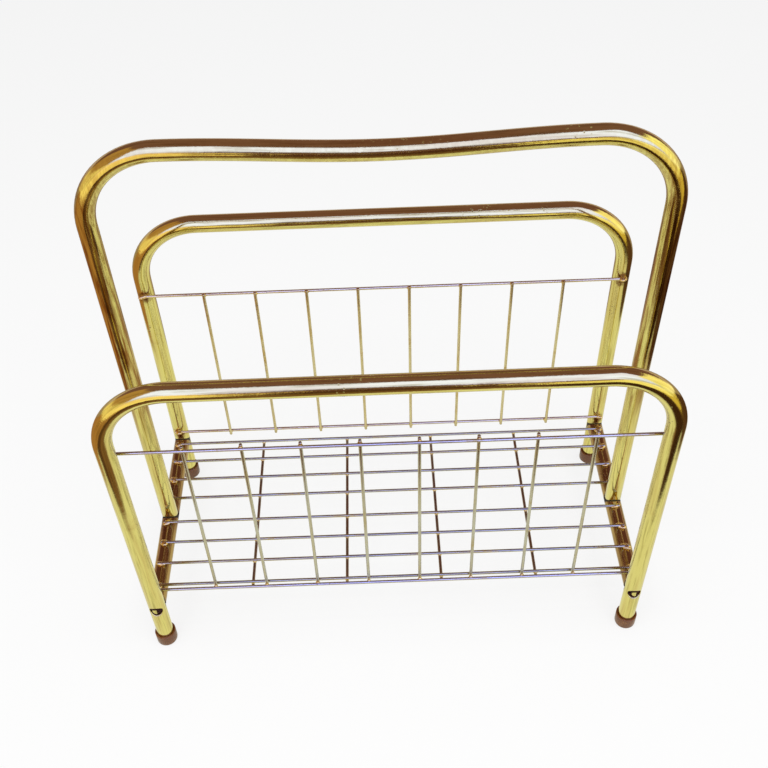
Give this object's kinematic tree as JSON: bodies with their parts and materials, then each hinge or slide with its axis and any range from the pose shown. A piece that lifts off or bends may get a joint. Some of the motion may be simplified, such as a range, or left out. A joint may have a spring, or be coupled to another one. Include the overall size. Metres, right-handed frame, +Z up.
{
  "type": "magazine rack",
  "caption": "Free-standing magazine rack: bent brass-plated tube frames with a central carrying handle over a welded wire base and wire front and rear panels, on cap feet.",
  "frame": {"origin": "on the floor, under the centre of the rack", "axes": "+X to the rack's right, +Y to its rear, +Z up"},
  "size_m": [0.3728, 0.1832, 0.3889],
  "materials": {
    "brass_tube": "polished brass plate, lightly tarnished",
    "brass_wire": "polished brass plate, brown at the welds",
    "foot_cap": "brown moulded rubber, semi-gloss",
    "screw": "darkened steel",
    "insert": "plain machined steel"
  },
  "bodies": {
    "root": {"base_cross_wire_1": "brass_wire", "base_cross_wire_2": "brass_wire", "base_cross_wire_3": "brass_wire", "base_cross_wire_4": "brass_wire", "base_wire_front_1": "brass_wire", "base_wire_front_2": "brass_wire", "base_wire_front_3": "brass_wire", "base_wire_front_4": "brass_wire", "base_wire_rear_1": "brass_wire", "base_wire_rear_2": "brass_wire", "base_wire_rear_3": "brass_wire", "base_wire_rear_4": "brass_wire", "foot_front_left": "foot_cap", "foot_front_right": "foot_cap", "foot_rear_left": "foot_cap", "foot_rear_right": "foot_cap", "front_frame": "brass_tube", "front_panel_bottom_wire": "brass_wire", "front_panel_top_wire": "brass_wire", "front_upright_1": "brass_wire", "front_upright_2": "brass_wire", "front_upright_3": "brass_wire", "front_upright_4": "brass_wire", "front_upright_5": "brass_wire", "front_upright_6": "brass_wire", "front_upright_7": "brass_wire", "front_upright_8": "brass_wire", "handle_frame": "brass_tube", "handle_insert_left": "insert", "handle_insert_right": "insert", "handle_screw_left": "screw", "handle_screw_right": "screw", "left_side_rail": "brass_tube", "leg_screw_front_left": "screw", "leg_screw_front_right": "screw", "leg_screw_rear_left": "screw", "leg_screw_rear_right": "screw", "rail_insert_front_left": "insert", "rail_insert_front_right": "insert", "rail_insert_rear_left": "insert", "rail_insert_rear_right": "insert", "rear_frame": "brass_tube", "rear_panel_bottom_wire": "brass_wire", "rear_panel_top_wire": "brass_wire", "rear_upright_1": "brass_wire", "rear_upright_2": "brass_wire", "rear_upright_3": "brass_wire", "rear_upright_4": "brass_wire", "rear_upright_5": "brass_wire", "rear_upright_6": "brass_wire", "rear_upright_7": "brass_wire", "rear_upright_8": "brass_wire", "right_side_rail": "brass_tube"}
  },
  "joints": []
}
